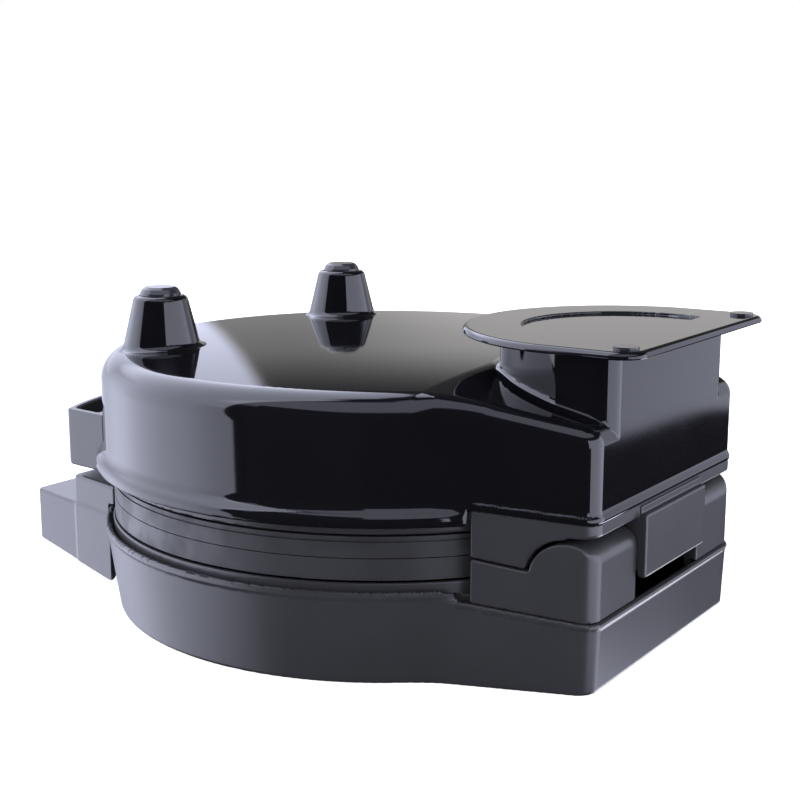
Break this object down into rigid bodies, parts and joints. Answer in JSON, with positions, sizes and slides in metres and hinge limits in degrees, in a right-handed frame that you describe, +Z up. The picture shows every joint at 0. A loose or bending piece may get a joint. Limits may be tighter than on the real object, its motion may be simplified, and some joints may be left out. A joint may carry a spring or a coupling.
{
  "type": "waffle cone maker",
  "caption": "Round electric waffle cone maker lying closed on its lid: two hinged cast plates in a satin lid and a gloss base with post feet, a cord tower and front handles.",
  "frame": {"origin": "centre of the lid's flat resting face, on the axis of the round body", "axes": "+Z up from the lid through the base's feet (upside down against use), +Y towards the hinge, +X across, handles at -Y"},
  "size_m": [0.2146, 0.27, 0.1172],
  "materials": {
    "satin_black": "satin moulded plastic",
    "gloss_black": "high gloss moulded plastic",
    "cast_plate": "cast, dark non-stick coating",
    "heater": "tube element",
    "sheet": "bright sheet",
    "ceramic": "insulating",
    "steel": "zinc plated",
    "brass": "sintered bush",
    "rubber": "rubber",
    "wire": "sleeved lead"
  },
  "bodies": {
    "lid": {"lid_cover": "satin_black", "lid_frame": "satin_black", "lid_plate": "cast_plate", "lid_heater": "heater", "lid_shield": "sheet", "lid_spacers": "ceramic", "lid_plate_screws": "steel", "lid_frame_screws": "steel", "lid_handle": "satin_black", "handle_screws": "steel", "hinge_pin": "steel", "pin_plug": "satin_black", "lid_fuse": "ceramic", "lid_leads": "wire"},
    "base": {"base_cover": "gloss_black", "base_frame": "satin_black", "base_plate": "cast_plate", "base_heater": "heater", "base_shield": "sheet", "base_spacers": "ceramic", "base_plate_screws": "steel", "base_frame_screws": "steel", "base_grip": "satin_black", "grip_screws": "steel", "hinge_bushes": "brass", "foot_caps": "rubber", "cord_plate": "gloss_black", "rear_pads": "rubber", "thermostat": "ceramic", "thermostat_bracket": "sheet", "terminal_block": "ceramic", "cord_bushing": "rubber", "base_leads": "wire"}
  },
  "joints": [
    {"name": "hinge", "type": "hinge", "parent": "lid", "child": "base", "pos_m": [0, 0.109, 0.0388], "axis": [-1, 0, 0], "range_deg": [0, 95]}
  ]
}
